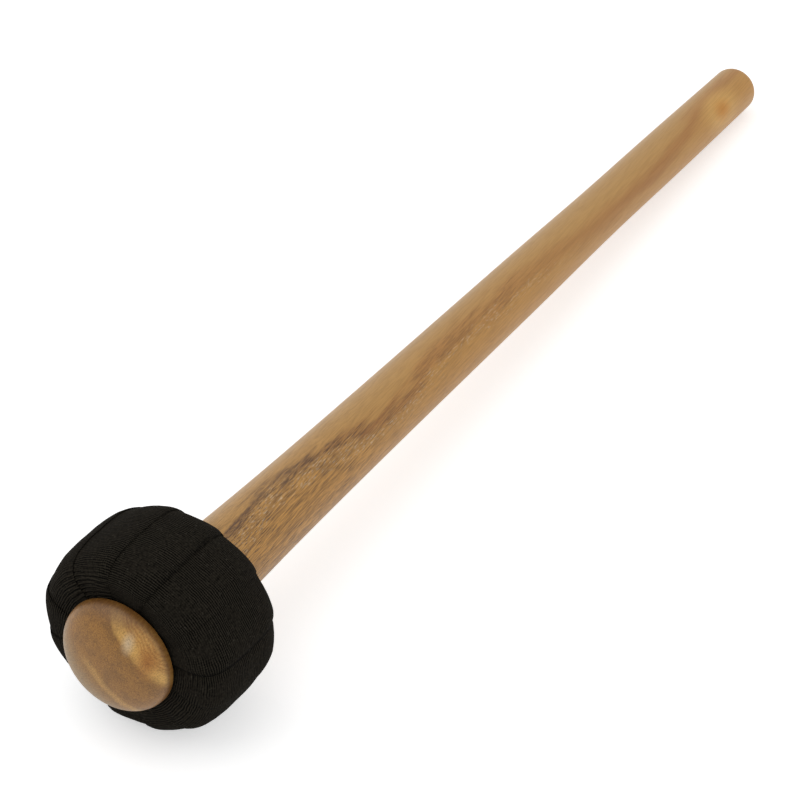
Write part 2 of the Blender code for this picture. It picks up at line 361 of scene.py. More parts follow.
        # A painted reflection: a cool tint of the pale surroundings on one side of the stick, and warm wood
        # on the other
        round_side = add_node(tree, "Math", (line,), operation="SINE")
        away_from_sky_tint = add_node(tree, "MapRange", (round_side, -0.8, 0.8))
        beyond = add_node(tree, "Math", (away, 3.2), operation="SUBTRACT")
        apart = add_node(tree, "Math", (beyond,), operation="ABSOLUTE")
        lines = self.streaks(tree, grain, 0.7, 16.0)
        bright = self.streaks(tree, grain, 0.20, 0.9)
        near, later, early, drawn, beside, threads, side = (
            add_node(tree, "MapRange", span, **SOFT_RAMP)
            for span in (
                (far, 0.0, reach, 1.0, 0.0),  # in the streak
                (station, 75.0, 150.0),  # where the streak has turned from dark to orange
                (station, 270.0, 200.0),  # the part with threads and flecks, nearer the head
                (lines, 0.50, 0.64),  # lines in the streak
                (apart, 3.0, 0.5),  # a band beside the streak
                (bright, 0.54, 0.66),  # pale threads in that band
                (away, -2.5, 1.5, 0.3),  # the side of the streak with more flecks
            )
        )
        sides, stain = (
            add_node(tree, "Mix", {0: share, 6: first, 7: second}, **COLOUR_MIX)
            for share, first, second in (
                (away_from_sky_tint, self.painted_sky_tint, self.warm_side),
                (later, self.heart, self.orange),
            )
        )
        sharp = add_node(tree, "Math", (later, -0.75, 1.0), operation="MULTIPLY_ADD")
        shares = []
        for first, *factors in (
            (0.7, near, depth),
            (near, depth, drawn, sharp),
            (beside, depth, early, threads),
            (near, depth, early),
            (flecks, side),
        ):
            for factor in factors:
                first = add_node(tree, "Math", (first, factor), operation="MULTIPLY")
            shares.append(first)
        soft, sharp_lines, cream, fibrous, flecks = shares
        knot_place, knot_shape = (4.6, 7.1, 373.0), (1.0, 1.0, 0.62)
        coats = [
            # The painted cool reflection on one side, and warm wood on the other
            (0.6, sides),
            (soft, stain),
            (sharp_lines, stain),
            (cream, self.cream),
            (self.spot(tree, place, knot_place, knot_shape, 11.0), self.flare),
            (self.spot(tree, place, knot_place, knot_shape, 5.6), self.knot),
        ]
        marks = add_node(tree, "Math", (fibrous, 0.5, flecks), operation="MULTIPLY_ADD", use_clamp=True)
        return coats, marks

    def knob_figure(self, tree: NodeTree, place: NodeSocket) -> tuple[Coats, NodeSocket]:
        """The layers that the dome is cut from: a pale flare with orange arcs, and a light line lower down.
        Over them go a painted highlight, and painted shade towards the top and at the edge by the cloth.

        The layers are sloping planes. Where the dome bends round with them, they show as nested ovals.

        Args:
            tree: The material's node tree.
            place: Local millimetres.

        Returns:
            The coats of colour, and how strongly the flecks show.
        """
        up, _, station = add_node(tree, "SeparateXYZ", (place,)).node.outputs
        wander = self.streaks(tree, place, 3.0, 3.0)
        blotches = self.streaks(tree, place, 2.2, 2.2, detail=3.0)
        slope = (place, (0.680, 0.721, 0.133))
        height = add_node(tree, "VectorMath", slope, output="Value", operation="DOT_PRODUCT")
        layer = add_node(tree, "Math", (wander, 2.4, height), operation="MULTIPLY_ADD")
        swing = add_node(tree, "Math", (layer, 9.0), operation="MULTIPLY")
        rings = add_node(tree, "Math", (swing,), operation="SINE")
        bands = add_node(tree, "MapRange", (rings, -1.0, 1.0, 0.35, 1.0))
        beyond = add_node(tree, "Math", (layer, -1.9), operation="SUBTRACT")
        apart = add_node(tree, "Math", (beyond,), operation="ABSOLUTE")
        blotch, low, high, inner, line, lower, top, painted_shade = (
            add_node(tree, "MapRange", span, **SOFT_RAMP)
            for span in (
                (blotches, 0.45, 0.65, 0.0, 0.45),  # olive blotches
                (layer, -1.0, -11.0, 0.0, 0.9),  # the lowest layers, greyer
                (layer, 11.4, 13.6, 0.0, 0.95),  # the pale flare
                (layer, 14.6, 16.2, 0.0, 0.6),  # the arcs inside the flare
                (apart, 2.1, 0.3),  # the light line
                (up, 5.0, 0.0, 0.0, 0.5),  # the lower half, where that line shows
                (up, 12.5, 18.5, 0.0, 0.8),  # painted shade, darker towards the top
                (station, -3.6, -1.8, 0.0, 0.7),  # painted shade and a painted reflection of the dark cloth, on the edge by the cloth
            )
        )
        arcs, line = (
            add_node(tree, "Math", pair, operation="MULTIPLY") for pair in ((inner, bands), (line, lower))
        )
        coats = [
            (0.85, self.dome),
            (blotch, self.olive),
            (low, self.grey),
            (high, self.flare),
            (arcs, self.orange),
            # A painted highlight: a soft cream spot where a lamp shines on the flare
            (self.spot(tree, place, (11.9, 7.9, -7.0), (0.8, 1.5, 1.0), 4.0), self.cream),
            (self.spot(tree, place, (7.0, 13.6, -5.9), (0.8, 1.2, 1.0), 5.6), self.amber),
            (line, self.flare),
            # Painted shade over the wood: darker towards the top and on the edge by the cloth
            (top, self.painted_shade),
            (painted_shade, self.painted_shade),
        ]
        return coats, add_node(tree, "MapRange", (layer, 10.0, 13.5, 0.40, 0.28))

    def spot(
        self, tree: NodeTree, place: NodeSocket, centre: tuple, stretch: tuple, radius: float
    ) -> NodeSocket:
        """A soft spot in the wood.

        Args:
            tree: The material's node tree.
            place: Local millimetres.
            centre: The spot's middle in local millimetres.
            stretch: How much the distance counts along each local axis.
            radius: Where the spot ends, in millimetres.

        Returns:
            1 in the middle, falling to 0 at the radius.
        """
        gap = add_node(tree, "VectorMath", (place, centre), operation="SUBTRACT")
        gap = add_node(tree, "VectorMath", (gap, stretch), operation="MULTIPLY")
        far = add_node(tree, "VectorMath", (gap,), output="Value", operation="LENGTH")
        return add_node(tree, "MapRange", (far, radius, 0.0), **SOFT_RAMP)


@dataclass(frozen=True)
class RibbedKnit:
    """Black ribbed knit, cut in a strip and wound under tension.

    Cotton knit scatters light and hardly shines, so it reads as flat brown-black with fine ribs, and
    its fuzz and lint catch a little grey where the surface turns away. The ribs cross the strip and come
    and go with its stretch. The valleys between ribs get painted shade and the ridges painted light, and
    where the cloth is bunched the tops of its folds get a painted highlight; the seams get painted shade.
    """

    shaded_valley: str = "#070605"
    lit_ridge: str = "#2f2b24"
    lint: str = "#4c4840"
    fuzz: str = "#b9b2a4"
    rib_pitch: float = 0.76
    stitch_pitch: float = 0.62
    relief: float = 0.14
    ior: float = 1.45
    roughness: float = 0.92

    def make(self) -> Material:
        """Build the material.

        Returns:
            The cloth, whose ribs follow the strip's own map.
        """
        material, tree, shader = new_material("black_ribbed_knit")
        place = add_node(tree, "TexCoord", output="Object")
        strip = add_node(tree, "UVMap", uv_map="strip")
        across, along, _ = add_node(tree, "SeparateXYZ", (strip,)).node.outputs
        # In cells per metre: what pulls the ribs aside, how clear they are, the fuzz, and specks of lint
        wander, stretch, fuzz, specks = (
            add_node(tree, "TexNoise", {"Vector": place, "Scale": cells, "Detail": detail})
            for cells, detail in ((200.0, 2.0), (130.0, 2.0), (1300.0, 2.0), (1500.0, 1.0))
        )
        pull = add_node(tree, "Math", (wander, 12.0, -6.0), operation="MULTIPLY_ADD")
        ribs = self.ridges(tree, along, self.rib_pitch, pull)
        stitches = self.ridges(tree, across, self.stitch_pitch, pull)
        # The knit's height swings about its middle, the more the clearer its ribs are there
        middle = 0.675
        knit = add_node(tree, "Math", (stitches, 0.35, ribs), operation="MULTIPLY_ADD")
        swing = add_node(tree, "Math", (knit, middle), operation="SUBTRACT")
        clear = add_node(tree, "MapRange", (stretch, 0.36, 0.62, 0.25, 1.9))
        knit = add_node(tree, "Math", (swing, clear, middle), operation="MULTIPLY_ADD")
        height = add_node(tree, "Math", (fuzz, 1.7, knit), operation="MULTIPLY_ADD")
        # Painted light and shade carried by the mesh: lighter on the tops of folds, darker in their hollows
        # and along the seams
        folds = add_node(tree, "Attribute", output="Fac", attribute_name="fold_shading")
        height_and_fold_light = add_node(tree, "Math", (folds, 1.5, height), operation="MULTIPLY_ADD")
        share = add_node(tree, "MapRange", (height_and_fold_light, 0.95, 2.2))
        lint = add_node(tree, "MapRange", (specks, 0.66, 0.80, 0.0, 0.5))
        # Painted shade in the rib valleys, painted light on the ridges and on the tops of folds, then specks
        # of lint
        body = self.shaded_valley
        for amount, colour in ((share, self.lit_ridge), (lint, self.lint)):
            body = add_node(tree, "Mix", {0: amount, 6: body, 7: colour}, **COLOUR_MIX)
        bumps = {"Strength": 0.9, "Distance": self.relief * MM, "Height": height}
        inputs = {
            "Base Color": body,
            "Roughness": self.roughness,
            "IOR": self.ior,
            "Specular IOR Level": 0.03,
            "Sheen Weight": 0.005,
            "Sheen Roughness": 0.6,
            "Sheen Tint": self.fuzz,
            "Normal": add_node(tree, "Bump", bumps),
        }
        set_inputs(shader, inputs)
        return material

    def ridges(self, tree: NodeTree, distance: NodeSocket, pitch: float, shift: NodeSocket) -> NodeSocket:
        """Rounded ridges from 0 to 1.

        Args:
            tree: The material's node tree.
            distance: The distance across the ridges, in metres.
            pitch: From one ridge to the next, in millimetres.
            shift: How far the ridges are pulled aside, in radians.

        Returns:
            The ridges' height.
        """
        turns = (distance, 2 * math.pi / (pitch * MM), shift)
        angle = add_node(tree, "Math", turns, operation="MULTIPLY_ADD")
        swing = add_node(tree, "Math", (angle,), operation="SINE")
        return add_node(tree, "Math", (swing, 0.5, 0.5), operation="MULTIPLY_ADD")


@dataclass(frozen=True)
class PlainFinish:
    """A finish of two close colours that drift into each other, for the pieces inside the cloth."""

    title: str
    first: str
    second: str
    cells: float
    roughness: float
    ior: float
    grain: float

    def make(self) -> Material:
        """Build the material.

        Returns:
            The finish, with its colour drift and its fine relief.
        """
        material, tree, shader = new_material(self.title)
        place = add_node(tree, "TexCoord", output="Object")
        drift = add_node(tree, "TexNoise", {"Vector": place, "Scale": self.cells, "Detail": 4.0})
        bumps = {"Strength": 0.6, "Distance": self.grain * MM, "Height": drift}
        inputs = {
            "Base Color": add_node(tree, "Mix", {0: drift, 6: self.first, 7: self.second}, **COLOUR_MIX),
            "Roughness": self.roughness,
            "IOR": self.ior,
            "Normal": add_node(tree, "Bump", bumps),
        }
        set_inputs(shader, inputs)
        return material


# Needled wool felt: a matt grey mat of short fibres. Moulded rubber: dark, with a dull skin
GREY_FELT = PlainFinish("needled_grey_felt", "#6e6a64", "#a19c93", 900.0, 0.95, 1.5, 0.3)
BLACK_RUBBER = PlainFinish("moulded_black_rubber", "#141414", "#262524", 350.0, 0.62, 1.52, 0.05)

# Radius and station of each ring of a turned piece, in millimetres
Outline = list[tuple[float, float]]


def turn_piece(name: str, outline: Outline, sides: int, hollow: bool = False) -> Object:
    """Shape a turned piece as on a lathe: a disc or a ring is extruded from ring to ring of its outline.

    Args:
        name: The piece's name.
        outline: The rings, from one end of the piece to the other.
        sides: How many sides each ring has.
        hollow: Whether the outline's last ring joins its first, so that the piece goes round a hole.

    Returns:
        The closed piece, on the local axis.
    """
    bpy.ops.object.select_all(action="DESELECT")
    (radius, station), *rest = outline
    fill = "NOTHING" if hollow else "TRIFAN"
    bpy.ops.mesh.primitive_circle_add(
        vertices=sides, radius=radius * MM, fill_type=fill, location=(0.0, 0.0, station * MM)
    )
    piece = bpy.context.active_object
    piece.name = piece.data.name = name
    bpy.ops.object.mode_set(mode="EDIT")
    bpy.ops.mesh.select_all(action="SELECT")
    for wider, further in rest:
        step = (0.0, 0.0, (further - station) * MM)
        bpy.ops.mesh.extrude_region_move(TRANSFORM_OT_translate={"value": step})
        share = wider / radius
        bpy.ops.transform.resize(value=(share, share, 1.0), center_override=(0.0, 0.0, further * MM))
        radius, station = wider, further
    if hollow:
        bpy.ops.mesh.select_non_manifold()
        bpy.ops.mesh.bridge_edge_loops()
    bpy.ops.mesh.select_all(action="SELECT")
    bpy.ops.mesh.normals_make_consistent(inside=False)
    bpy.ops.object.mode_set(mode="OBJECT")
    bpy.ops.object.transform_apply(location=True, rotation=True, scale=True)
    return piece


def select(piece: Object) -> None:
    """Make one piece the only one selected, and active."""
    bpy.ops.object.select_all(action="DESELECT")
    piece.select_set(True)
    bpy.context.view_layer.objects.active = piece


def lay_down(piece: Object, axis: MalletAxis, sharp: float) -> None:
    """Lay a piece down from the local axis, with its place in its mesh, and smooth it.

    Args:
        piece: The piece as it was shaped.
        axis: The mallet's axis.
        sharp: Edges that turn by more degrees than this stay sharp.
    """
    piece.matrix_world = axis.placement @ piece.matrix_world
    select(piece)
    bpy.ops.object.transform_apply(location=True, rotation=True, scale=True)
    bpy.ops.object.shade_smooth_by_angle(angle=math.radians(sharp))


def dress(piece: Object, material: Material, slot: str, *nodes: str) -> None:
    """Give a piece its material and its body, and hide the nodes that it stands for.

    Args:
        piece: The finished piece.
        material: Its material.
        slot: The record's material slot. It is not used.
        nodes: The CAD nodes that it replaces.
    """
    piece.data.materials.clear()
    piece.data.materials.append(material)
    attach(piece, "root")
    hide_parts(*nodes)


@dataclass
class Handle:
    """The stick: a rounded butt, an even taper with a flare at the head, and the seat and tenon inside.

    The wood has moved a little since it was turned, so the stick's last third bends to one side.
    """

    seat_radius: float = 9.5
    shoulder: float = 33.6
    butt: float = 397.2
    butt_radius: float = 8.39
    butt_height: float = 4.0
    butt_flat: float = 4.2
    crown_radius: float = 1.2
    crown_height: float = 0.12
    taper: float = 0.0083
    flare: float = 1.84
    flare_start: float = 40.0
    flare_length: float = 42.4
    waist: float = 0.36
    waist_station: float = 289.0
    waist_length: float = 37.0
    bend: float = 0.55
    bend_start: float = 250.0
    bend_end: float = 410.0
    tenon_radius: float = 6.0
    tenon_length: float = 8.0
    centre_mark: float = 0.5
    gap: float = 0.3
    edge_round: float = 0.8
    sides: int = 128
    rings: int = 70

    def radius(self, station: float) -> float:
        """The stick's radius at a station, in millimetres."""
        taper = self.taper * (self.butt - station)
        flare = self.flare * math.exp(-(station - self.flare_start) / self.flare_length)
        waist = self.waist * math.exp(-(((station - self.waist_station) / self.waist_length) ** 2))
        return self.butt_radius + taper + flare - waist

    def outline(self) -> Outline:
        """The rings from the butt to the tenon's end.

        Returns:
            The outline for the lathe.
        """
        end = self.butt + self.butt_height
        rings = [(self.crown_radius, end + self.crown_height), (self.butt_flat, end)]
        reach = self.butt_radius - self.butt_flat
        for angle in quarter(12):
            across = self.butt_flat + reach * math.sin(angle)
            rings.append((across, self.butt + self.butt_height * math.cos(angle)))
        first = self.shoulder + self.edge_round
        for i in range(1, self.rings + 1):
            station = self.butt + (first - self.butt) * i / self.rings
            rings.append((self.radius(station), station))
        for angle in quarter(4):
            across = self.radius(first) - self.edge_round * (1 - math.cos(angle))
            rings.append((across, first - self.edge_round * math.sin(angle)))
        rings += [(self.seat_radius, self.shoulder), (self.seat_radius, self.gap)]
        rings += [(self.tenon_radius, self.gap), (self.tenon_radius, -self.tenon_length)]
        rings.append((self.centre_mark, -self.tenon_length))
        return rings

    def build(self, axis: MalletAxis, wood: Material) -> Object:
        """Turn the handle, lay it down and dress it.

        Args:
            axis: The mallet's axis.
            wood: The stick's wood.

        Returns:
            The handle.
        """
        piece = turn_piece("turned_handle", self.outline(), self.sides)
        for point in piece.data.vertices:
            point.co.y += self.bend * ramp(point.co.z / MM, self.bend_start, self.bend_end) * MM
        lay_down(piece, axis, 35.0)
        dress(piece, wood, "oiled_wood", "handle")
        return piece


@dataclass
class Knob:
    """The dome in front of the head, with a blind bore for the tenon, drilled a little off its middle."""

    radius: float = 18.05
    height: float = 10.0
    edge_round: float = 0.2
    fullness: float = 2.2
    bore_radius: float = 6.3
    bore_depth: float = 8.1
    centre_mark: float = 0.5
    off_axis: tuple[float, float] = (0.55, 0.2)
    sides: int = 144
    rings: int = 34

    def outline(self) -> Outline:
        """The rings from the middle of the dome, over its edge and into the bore.

        Returns:
            The outline for the lathe.
        """
        rise = self.height - self.edge_round
        rings = []
        for angle in quarter(self.rings):
            across, along = squarish(math.pi / 2 - angle, self.fullness)
            rings.append((self.radius * across, -self.edge_round - rise * along))
        for angle in quarter(5):
            across = self.radius - self.edge_round * (1 - math.cos(angle))
            rings.append((across, -self.edge_round * (1 - math.sin(angle))))
        rings += [(self.bore_radius, 0.0), (self.bore_radius, -self.bore_depth)]
        rings.append((self.centre_mark, -self.bore_depth))
        return rings

    def build(self, axis: MalletAxis, wood: Material) -> Object:
        """Turn the knob, move all but its bore off the axis, lay it down and dress it.

        Args:
            axis: The mallet's axis.
            wood: The knob's wood.

        Returns:
            The knob.
        """
        piece = turn_piece("turned_knob", self.outline(), self.sides)
        spare = 0.1
        for point in piece.data.vertices:
            outside = math.hypot(point.co.x, point.co.y) >= (self.bore_radius + spare) * MM
            if outside or point.co.z < (-self.bore_depth - spare) * MM:
                point.co.x += self.off_axis[0] * MM
                point.co.y += self.off_axis[1] * MM
        lay_down(piece, axis, 50.0)
        dress(piece, wood, "oiled_wood", "knob")
        return piece


@dataclass
class HeadForm:
    """The closed outline of the head's section: what the cloth's raised edges reach.

    The winding has pulled the head a little askew, so it leans towards the knob at its top.
    """

    handle: Handle
    knob: Knob
    radius: float = 32.36
    centre: float = 21.0
    crest: float = 20.0
    hole: float = 9.8
    front: float = 20.8
    back: float = 18.9
    front_outer: float = 3.35
    back_outer: float = 2.70
    inner_fullness: float = 2.7
    clearance: float = 0.08
    tilt_up: float = -0.08
    tilt_across: float = -0.02
    shift_across: float = 0.19
    moved_from: float = 18.0
    bulge: float = 0.6
    bulge_from: float = 25.0
    fade: float = 7.0
    bulge_angle: float = 122.0
    bulge_reach: float = 62.0
    count: int = 1800
    softening: int = 4
    tangent_reach: int = 6
    points: list[Vector] = field(default_factory=list)
    walked: list[float] = field(default_factory=list)

    def __post_init__(self) -> None:
        """Draw the outline, press it against the knob and the stick, and measure it."""
        drawn = [self.pressed(self.free_point(i)) for i in range(self.count)]
        for i in range(self.count):
            near = [drawn[(i + j) % self.count] for j in range(-self.softening, self.softening + 1)]
            self.points.append(sum(near, Vector((0.0, 0.0))) / len(near))
        total = 0.0
        for i, point in enumerate(self.points):
            self.walked.append(total)
            total += (self.points[(i + 1) % self.count] - point).length
        self.walked.append(total)

    def free_point(self, i: int) -> Vector:
        """The outline's point before anything presses on it, from the back crest round by the outside."""
        angle = math.radians(90 - 360 * i / self.count)
        outside, behind = math.cos(angle) >= 0, math.sin(angle) >= 0
        reach = self.radius - self.crest if outside else self.crest - self.hole
        depth = self.back if behind else self.front
        outer = self.back_outer if behind else self.front_outer
        across, along = squarish(angle, outer if outside else self.inner_fullness)
        return Vector((self.crest + reach * across, self.centre + depth * along))

    def pressed(self, point: Vector) -> Vector:
        """The point where the knob's back and the stick leave room for it."""
        across, along = point
        if across < self.knob.radius + self.knob.off_axis[0] + self.clearance:
            along = max(along, self.clearance)
        if along > self.handle.shoulder - self.clearance:
            across = max(across, self.handle.radius(along) + self.clearance)
        return Vector((across, along))

    def warped(self, point: Vector) -> Vector:
        """A point of the head, in local millimetres, where the pull of the winding has moved it."""
        radius = math.hypot(point.x, point.y)
        lean = self.tilt_up * point.x + self.tilt_across * point.y
        apart = abs(math.degrees(math.atan2(point.y, point.x)) - self.bulge_angle)
        apart = min(apart, 360.0 - apart)
        bulge = self.bulge * ramp(apart, self.bulge_reach, 0.0)
        swell = 1 + bulge / radius * ramp(radius, self.bulge_from, self.bulge_from + self.fade)
        moved = Vector((point.x * swell, point.y * swell + self.shift_across, point.z + lean))
        return point.lerp(moved, ramp(radius, self.moved_from, self.moved_from + self.fade))

    def at(self, share: float) -> tuple[Vector, Vector]:
        """Walk the outline.

        Args:
            share: The share of the way round, from 0 at the back crest.

        Returns:
            The point and the outward normal.
        """
        target = (share % 1.0) * self.walked[-1]
        i = min(max(bisect.bisect_right(self.walked, target) - 1, 0), self.count - 1)
        step = (target - self.walked[i]) / max(self.walked[i + 1] - self.walked[i], 1e-9)
        here = self.points[i].lerp(self.points[(i + 1) % self.count], step)
        ahead = self.points[(i + 1 + self.tangent_reach) % self.count]
        tangent = (ahead - self.points[i - self.tangent_reach]).normalized()
        return here, Vector((-tangent.y, tangent.x))


@dataclass(frozen=True)
class Seam:
    """Where one turn of the strip laps over the next: angles in degrees, and the groove in millimetres."""

    even_place: float
    nudge: float
    groove: float
    reach: float = 14.0

    def weight(self, angle: float) -> float:
        """1 on the seam and 0 half a turn's spacing away."""
        apart = abs((angle - self.even_place + 180) % 360 - 180)
        return ramp(apart, self.reach, 0.0)


@dataclass
class WoundCloth:
    """One long strip of ribbed knit, wound twelve times over the ring and back through its hole.

    A bunch is where the cloth is gathered on its front face: angle and reach in degrees, and strength. A
    part is a span across the strip, which goes from -1 at the tucked edge to 1 at the raised edge. A
    gather is a span in millimetres, in front of the head's centre or from the axis. A grain is the
    scale of a noise, per millimetre.
    """

    form: HeadForm
    turns: int = 12
    first_lay: float = -26.3
    lay_swing: float = 2.5
    lay_phase: float = 55.7
    overlap: float = 0.13
    thickness: float = 0.85
    edge_thickness: float = 0.15
    step: float = 0.50
    even_groove: float = 0.15
    climb_part: tuple[float, float] = (0.60, -0.64)
    lip_part: tuple[float, float] = (0.62, 1.0)
    tucked_part: tuple[float, float] = (-0.38, -0.80)
    edge_part: tuple[float, float] = (0.8, 1.0)
    lip: float = 0.30
    lip_per_groove: float = 0.95
    seam_shade: float = 1.3
    broad_dents: float = 0.30
    broad_grain: float = 0.11
    fine_dents: float = 0.12
    fine_grain: float = 0.45
    fine_start: tuple[float, float, float] = (7.0, 3.0, 1.0)
    outside_slant: float = 1.0 / 3.0
    seam_place: float = 0.75
    tail: float = 0.04
    flatness: float = 0.25
    fold_pitch: float = 1.5
    fold_depth: float = 0.32
    fold_drift: float = 3.5
    drift_grain: float = 0.2
    scattered_folds: float = 0.4
    patch_grain: float = 0.13
    patch_start: tuple[float, float, float] = (0.0, 9.0, 4.0)
    patch_contrast: float = 1.4
    gather_forward: tuple[float, float] = (10.0, 17.0)
    gather_outside: tuple[float, float] = (31.0, 24.0)
    gather_inside: tuple[float, float] = (12.0, 16.0)
    bunches: tuple[tuple[float, float, float], ...] = ((-25.0, 65.0, 1.0), (64.0, 26.0, 0.6))
    coarse_rings: int = 110
    fine_rings: int = 400
    fine_part: tuple[float, float] = (0.30, 0.58)
    columns: int = 16
    face_width: float = 0.985
    seams: tuple[Seam, ...] = (
        Seam(-41.6, 4.4, 0.04),
        Seam(-10.3, 2.3, 0.04),
        Seam(20.7, 1.3, 0.20),
        Seam(51.2, 0.6, 0.0),
        Seam(81.0, 2.5, 0.55),
    )
    table_gap: float = 0.02
    table_blend: float = 0.12

    def places(self) -> list[float]:
        """The turns at which a ring of points goes, closer together on the front face."""
        found = []
        place = 0.0
        while place < 1.0 - 0.5 / self.coarse_rings:
            found.append(place)
            fine = self.fine_part[0] < place < self.fine_part[1]
            place += 1 / (self.fine_rings if fine else self.coarse_rings)
        every = [turn + place for turn in range(self.turns + 1) for place in found]
        return [p for p in every if self.seam_place <= p <= self.turns + self.seam_place - self.tail]

    def lay(self, angle: float) -> float:
        """Where the winder laid a turn, in degrees round the axis, for its even place."""
        laid = angle + self.lay_swing * math.cos(math.radians(angle - self.lay_phase))
        return laid + sum(seam.nudge * seam.weight(laid) for seam in self.seams)

    def advance(self, turn: float) -> float:
        """How many spacings the strip has moved sideways after so many turns."""
        return turn - self.outside_slant * math.sin(math.pi * (turn % 1.0)) ** 2

    def groove(self, angle: float) -> float:
        """How deep the seam is that runs nearest to an angle in degrees, in millimetres."""
        deeper = (seam.weight(angle - seam.nudge) * (seam.groove - self.even_groove) for seam in self.seams)
        return self.even_groove + sum(deeper)

    def gathers(self, angle: float, place: Vector, spot: Vector) -> float:
        """How strongly the cloth is gathered in folds.

        Args:
            angle: The point's angle round the axis, in degrees.
            place: Radius and station, in millimetres.
            spot: The same point in local millimetres.

        Returns:
            From 0 for smooth cloth to 1. Only the front face between the knob and the outside is gathered.
        """
        front = ramp(self.form.centre - place.y, *self.gather_forward)
        inner = ramp(place.x, *self.gather_outside) * ramp(place.x, *self.gather_inside)
        bunched = max(strength * ramp(abs(angle - b), reach, 0.0) for b, reach, strength in self.bunches)
        patch = noise.noise(spot * self.patch_grain + Vector(self.patch_start)) * self.patch_contrast + 0.5
        return front * inner * max(self.scattered_folds * ramp(patch, 0.0, 1.0), bunched)

    def relief(self, across: float, angle: float, place: Vector, along: float) -> tuple[float, float]:
        """How far the cloth sinks below its outline.

        Args:
            across: From -1 at the tucked edge to 1 at the raised edge.
            angle: The point's angle round the axis, in degrees.
            place: Radius and station, in millimetres.
            along: The distance along the strip, in millimetres.

        Returns:
            The depth in millimetres, never under 0, and its painted light and shade, from -1 in seams and
            hollows to 0.5 on the tops of folds.
        """
        groove = self.groove(angle)
        turn = math.radians(angle)
        spot = Vector((place.x * math.cos(turn), place.x * math.sin(turn), place.y))
        # The strip climbs out of its seam, rolls over at the raised edge and dives at the tucked one
        depth = self.step * ramp(across, *self.climb_part)
        depth += (self.lip + self.lip_per_groove * groove) * ramp(across, *self.lip_part) ** 2
        depth += groove * ramp(across, *self.tucked_part)
        depth += self.broad_dents * (noise.noise(spot * self.broad_grain) + 1) / 2
        fine = spot * self.fine_grain + Vector(self.fine_start)
        depth += self.fine_dents * (noise.noise(fine) + 1) / 2
        drift = self.fold_drift * noise.noise(spot * self.drift_grain)
        ripple = 0.5 - 0.5 * math.sin(2 * math.pi * along / self.fold_pitch + drift)
        gathered = self.gathers(angle, place, spot)
        at_edge = ramp(abs(across), *self.edge_part)
        # Painted light and shade for the material: tops of folds lighter, their hollows darker, and painted
        # shadow under the raised edge of each seam
        fold_shading = gathered * (0.5 - ripple) - self.seam_shade * groove * at_edge
        return depth + self.fold_depth * gathered * ripple, fold_shading

    def ring(self, turn: float, along: float) -> list[tuple[Vector, tuple[float, float], float]]:
        """One ring of points round the strip, out over its top face and back under it.

        Args:
            turn: How many turns have been wound.
            along: The distance along the strip, in millimetres.

        Returns:
            Each point in local millimetres, its place on the strip in metres, and its painted light and
            shade.
        """
        spacing = 360.0 / self.turns
        half = spacing / 2 * (1 + self.overlap)
        shift = self.advance(turn) - self.advance(self.seam_place)
        centre = self.first_lay + spacing / 2 - spacing * shift
        place, normal = self.form.at(turn)
        width = place.x * math.radians(half)
        flattest = self.flatness * place.x * (1 - math.cos(math.radians(half)))
        steps = [math.sin(math.pi / 2 * (2 * i / self.columns - 1)) for i in range(self.columns + 1)]
        steps = [a * self.face_width for a in steps]
        # Each stop is a place across the strip, and a level from 0 on its top face to 1 on its underside
        walk = [(a, 0.0) for a in steps] + [(1.0, 0.5)] + [(a, 1.0) for a in reversed(steps)] + [(-1.0, 0.5)]
        points = []
        for across, level in walk:
            angle = self.lay(centre + across * half)
            turned = math.radians(angle)
            inside = 1 - across**2
            body = self.edge_thickness + (self.thickness - self.edge_thickness) * inside
            relief, fold_shading = self.relief(across, angle, place, along)
            depth = relief + flattest * inside + body * level
            radius, station = place.x - depth * normal.x, place.y - depth * normal.y
            point = Vector((radius * math.cos(turned), radius * math.sin(turned), station))
            points.append((self.form.warped(point), (across * width * MM, along * MM), fold_shading))
        return points

    def build(self, axis: MalletAxis, cloth: Material) -> Object:
        """Wind the strip, press it flat where it rests, and dress it.

        Args:
            axis: The mallet's axis.
            cloth: The knit.

        Returns:
            The strip of cloth.
        """
        perimeter = self.form.walked[-1]
        rings = [self.ring(turn, turn * perimeter) for turn in self.places()]
        around = len(rings[0])
        points, maps, folds = zip(*(stop for ring in rings for stop in ring))
        laid = [axis.placement @ (point * MM) for point in points]
        for point in laid:
            point.z = smooth_max(point.z / MM, self.table_gap, self.table_blend) * MM
        last = (len(rings) - 1) * around
        faces = []
        for start in range(0, last, around):
            for j in range(around):
                k = (j + 1) % around
                faces.append((start + j, start + k, start + around + k, start + around + j))
        faces.append(tuple(reversed(range(around))))
        faces.append(tuple(range(last, last + around)))
        mesh = bpy.data.meshes.new("wound_strip")
        mesh.from_pydata(laid, [], faces)
        layer = mesh.uv_layers.new(name="strip")
        for corner in mesh.loops:
            layer.uv[corner.index].vector = maps[corner.vertex_index]
        mesh.attributes.new("fold_shading", "FLOAT", "POINT").data.foreach_set("value", folds)
        piece = bpy.data.objects.new("wound_strip", mesh)
        bpy.context.scene.collection.objects.link(piece)
        select(piece)
        bpy.ops.object.mode_set(mode="EDIT")
        bpy.ops.mesh.select_all(action="SELECT")
        bpy.ops.mesh.normals_make_consistent(inside=False)
        bpy.ops.object.mode_set(mode="OBJECT")
        bpy.ops.object.shade_smooth_by_angle(angle=math.radians(60))
        dress(piece, cloth, "ribbed_knit", "wrap")
        return piece


